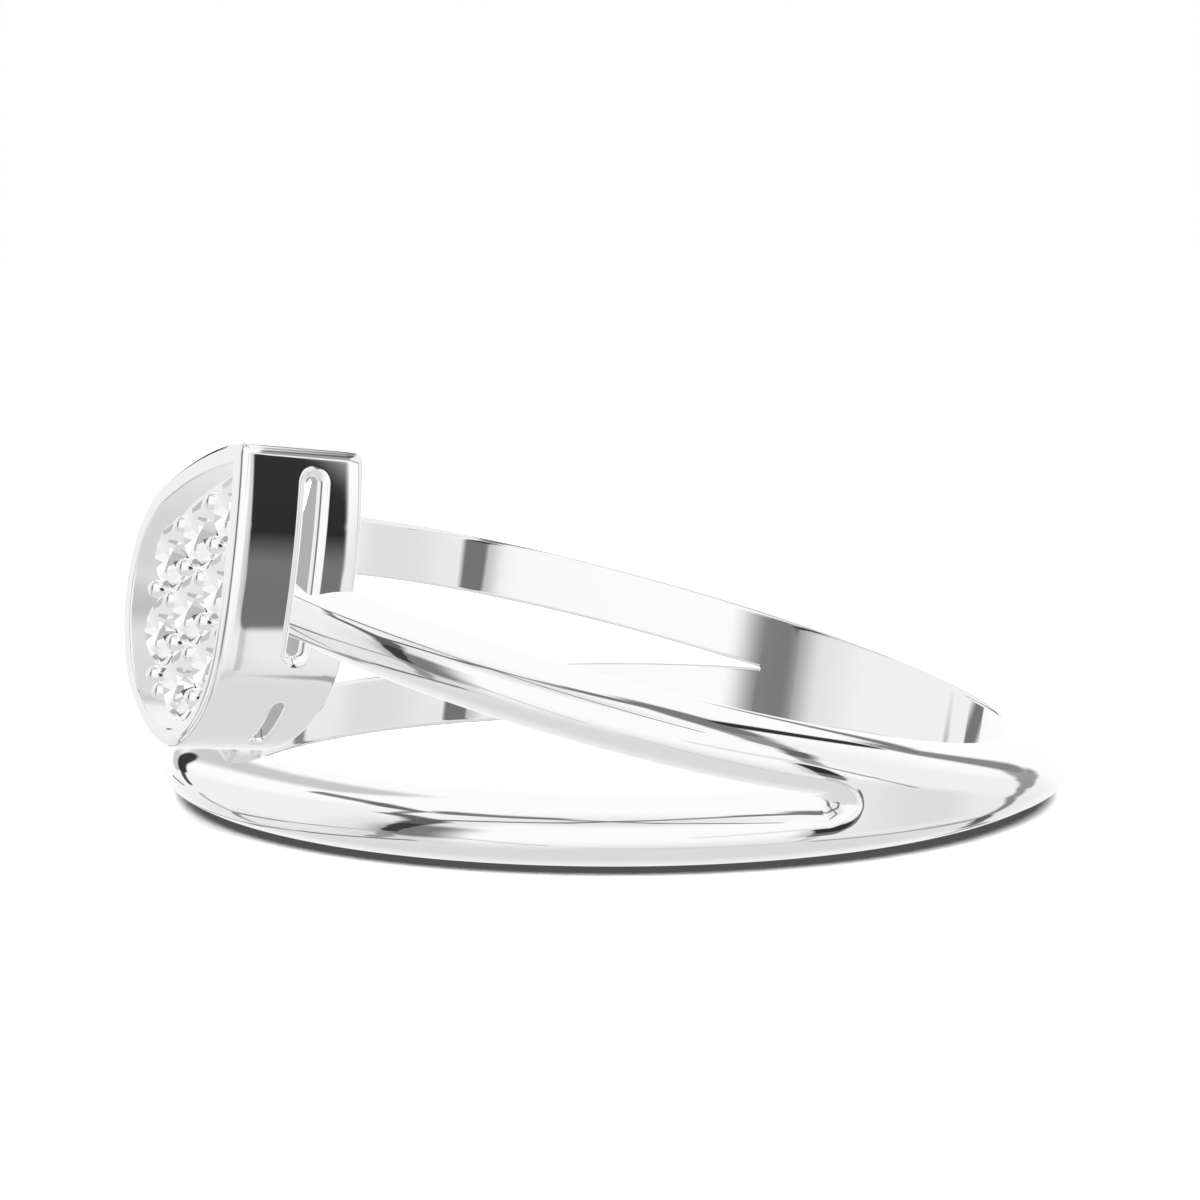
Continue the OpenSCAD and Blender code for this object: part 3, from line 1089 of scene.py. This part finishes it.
# %% Seams of the tent: two ends, half width, soft edge, darkness, last darkness if another
SEAMS = [
    # Arch on the left
    ((165, 60), (-165, 58.5), 1.5, 3, 0.85),
    ((-165, 58.5), (-152, 52), 2.5, 3.5, 0.85),
    ((-152, 52), (-145, 36), 2.5, 3, 0.85),
    ((-145, 36), (-143, 18), 2.5, 2, 0.94),
    ((-143, 18), (-143.5, 1), 2, 1.5, 0.94),
    ((-137, 27), (-138, -6), 3, 14, 0.75),
    ((-144, -2), (-147, -22), 1.5, 2, 0.6),
    ((-147, -22), (-156, -34), 1.2, 2, 0.55),
    ((-144, -34), (-164, -40), 1, 1.5, 0.75),
    ((-164, -40), (164, -44), 0.8, 1.5, 0.75),
    ((-150, -6), (-180, -20), 0.6, 1.5, 0.55),
    ((-144, -6), (-134, -4), 1.2, 2, 0.75),
    ((-134, -4), (-124, -10), 0.6, 2, 0.5),
    ((-124, -10), (-107, -28), 0.5, 3, 0.3),
    # Stand in front of the ring
    ((-36.5, 8.5), (-36.5, -4), 3.2, 2.5, 0.97),
    ((-36.5, -7), (-36.5, -12), 3.2, 2.5, 0.97, 0.79),
    ((-36.5, -14), (-37, -20), 3.2, 1.5, 0.79),
    ((-39, 8), (-39.5, -18), 1, 7, 0.35),
    ((-38, -24), (-36, -40), 0.8, 1.5, 0.3),
    ((-32, 19), (-68, 5), 0.5, 5, 0.22),
    # Panel on the right
    ((-30, 21), (-21, 37), 1.5, 3, 0.65),
    ((-21, 37), (3, 50), 1.5, 3.5, 0.85),
    ((3, 53), (50, 53), 2.5, 3, 0.7),
    ((50, 54), (57, 54), 3.5, 3, 0.8),
    ((56, 50), (64, 31), 1, 1, 0.97),
    ((65, 26), (62, 17), 2, 2.5, 0.75),
    ((65, 26), (80, 18), 0.5, 1.5, 0.8),
    ((-31, 20), (-20, 6), 1.2, 2.5, 0.6),
    ((-20, 6), (-11, -8), 0.7, 2, 0.55),
    # Two seams of the ceiling
    ((58, 56), (64, 64), 1, 1.5, 0.8),
    ((64, 64), (76, 75), 0.8, 1.5, 0.7),
    ((76, 75), (-162, 82), 1, 2, 0.75),
    ((-162, 82), (-161, 59), 1.2, 2.5, 0.85),
    ((122, 60), (112, 72), 1, 1.5, 0.8),
    ((112, 72), (-29, 83), 0.8, 1.5, 0.72),
    ((-29, 83), (-31, 66), 0.8, 1.5, 0.9),
    ((-31, 66), (-27, 58), 0.8, 1.5, 0.85),
    # Round panel below it
    ((62, 17), (46, 12), 1.5, 2.5, 0.65),
    ((46, 12), (34, 0), 1.2, 2.5, 0.65),
    ((34, 0), (28, -18), 1.2, 2.5, 0.65),
    ((28, -18), (35, -34), 1.5, 2.5, 0.7),
    ((35, -34), (48, -37), 1.5, 2, 0.85),
    ((48, -37), (63, -36), 0.8, 1.5, 0.8),
    ((63, -36), (80, -22), 0.5, 1.5, 0.55),
    ((34, -35), (12, -41), 1.5, 3, 0.5),
    ((12, -41), (-28, -44), 1.2, 2, 0.5),
    ((-40, -44), (-95, -40), 1, 6, 0.12),
    # Behind the ring
    ((114, 15), (128, 12), 2.2, 1.5, 0.96),
    ((128, 12), (141, 4), 1, 1.5, 0.93),
    ((113, 10), (126, 8), 1, 2.5, 0.4),
    ((128, -3.5), (137, -4), 0.4, 1, 0.8),
    ((109, 38), (110, 17), 2, 4, 0.4),
    ((118, 41), (121, 50), 0.5, 1.2, 0.8),
    ((121, 50), (128, 59), 0.7, 1.2, 0.85),
    ((128, 59), (165, 60), 0.4, 1.2, 0.75),
    ((114, 70), (124, 63), 1.5, 3, 0.8),
    ((149, -4), (157, -23), 0.7, 2, 0.5),
    ((-180, -20), (157, -24), 0.8, 1.5, 0.75),
    ((157, -24), (142, -37), 0.7, 1.5, 0.65),
    ((104, -14), (122, -35), 0.5, 1.5, 0.6),
    ((122, -35), (150, -43), 0.6, 1.5, 0.6),
    ((150, -43), (180, -44), 0.3, 1, 0.7),
]


def direction(azimuth_degrees, elevation_degrees):
    """That direction as a vector of length 1."""
    turn, lift = radians(azimuth_degrees), radians(elevation_degrees)
    return Vector((cos(turn) * cos(lift), sin(turn) * cos(lift), sin(lift)))


def add_patch(group, label, before, fixed, links):
    """Puts one more patch on the light or darkness before it."""
    node = tent.nodes.new("ShaderNodeGroup")
    node.node_tree = group
    for name, value in fixed:
        node.inputs[name].default_value = value
    for name, socket in links:
        tent.links.new(socket, node.inputs[name])
    tent.links.new(before, node.inputs[label])
    return node.outputs[label]


light = tent.nodes.new("ShaderNodeValue")
light.outputs["Value"].default_value = TENT_LIGHT
light = light.outputs["Value"]
for values in SHADES:
    light = add_patch(shade, "Light", light,
                      zip(("Shade Azimuth", "Shade Elevation", "Half Width", "Half Height",
                           "Soft Edge", "Darkness"), values),
                      (("Azimuth", azimuth), ("Elevation", elevation)))
hidden = tent.nodes.new("ShaderNodeValue").outputs["Value"]
for first, last, half_width, soft_edge, *darkness in SEAMS:
    first, last = direction(*first), direction(*last)
    way = last - first
    hidden = add_patch(seam, "Hidden", hidden,
                       (("First", first), ("Way", way), ("Way Squared", way.length_squared),
                        ("Half Width", radians(half_width)), ("Soft Edge", radians(soft_edge)),
                        ("Darkness", darkness[0]), ("Last Darkness", darkness[-1])),
                       (("Towards", towards),))
print(f"{len(SHADES)} shades and {len(SEAMS)} seams")

# %% [markdown]
# The seams are there for the metal and the stones alone. The stones see them fainter,
# and see the tent broken up in cells of more and less light, as the facets round them
# do in a real setting. The camera sees plain white behind the ring, and what lights
# the table from the side is faint.

# %% Who sees what of the tent
SIDE_LIGHT = 0.12
SEAMS_IN_STONES = 0.85
CELLS_IN_STONES = 5
DIMMEST_CELL, LIGHTEST_CELL = 0.2, 1.3
rays = tent.nodes.new("ShaderNodeLightPath")
through = rays.outputs["Is Transmission Ray"]
mirrored = maths(tent, "MAXIMUM", rays.outputs["Is Glossy Ray"], through)
first_hand = maths(tent, "LESS_THAN", rays.outputs["Diffuse Depth"], 0.5)
fainter = maths(tent, "MULTIPLY_ADD", through, SEAMS_IN_STONES - 1, 1)
light = maths(tent, "MULTIPLY", light, maths(
    tent, "SUBTRACT", 1, maths(tent, "MULTIPLY", hidden, fainter)))
cells = tent.nodes.new("ShaderNodeTexVoronoi")
cells.inputs["Scale"].default_value = CELLS_IN_STONES
tent.links.new(towards, cells.inputs["Vector"])
cell = tent.nodes.new("ShaderNodeSeparateXYZ")
tent.links.new(cells.outputs["Color"], cell.inputs["Vector"])
glow = maths(tent, "MULTIPLY_ADD", cell.outputs["X"], LIGHTEST_CELL - DIMMEST_CELL,
             DIMMEST_CELL - 1)
light = maths(tent, "MULTIPLY", light, maths(tent, "MULTIPLY_ADD", through, glow, 1))

# %% Mix of what is mirrored and what is seen straight on
seen = tent.nodes["Background"]
seen.inputs["Color"].default_value = (1, 1, 1, 1)
tent.links.new(light, seen.inputs["Strength"])
plain = tent.nodes.new("ShaderNodeBackground")
plain.inputs["Color"].default_value = (1, 1, 1, 1)
backdrop = maths(tent, "MAXIMUM", rays.outputs["Is Camera Ray"], SIDE_LIGHT)
tent.links.new(backdrop, plain.inputs["Strength"])
either = tent.nodes.new("ShaderNodeMixShader")
tent.links.new(maths(tent, "MULTIPLY", mirrored, first_hand), either.inputs["Fac"])
tent.links.new(plain.outputs["Background"], either.inputs[1])
tent.links.new(seen.outputs["Background"], either.inputs[2])
tent.links.new(either.outputs["Shader"], tent.nodes["World Output"].inputs["Surface"])
bpy.context.scene.view_settings.view_transform = "Standard"
print(f"world of {len(tent.nodes)} nodes")
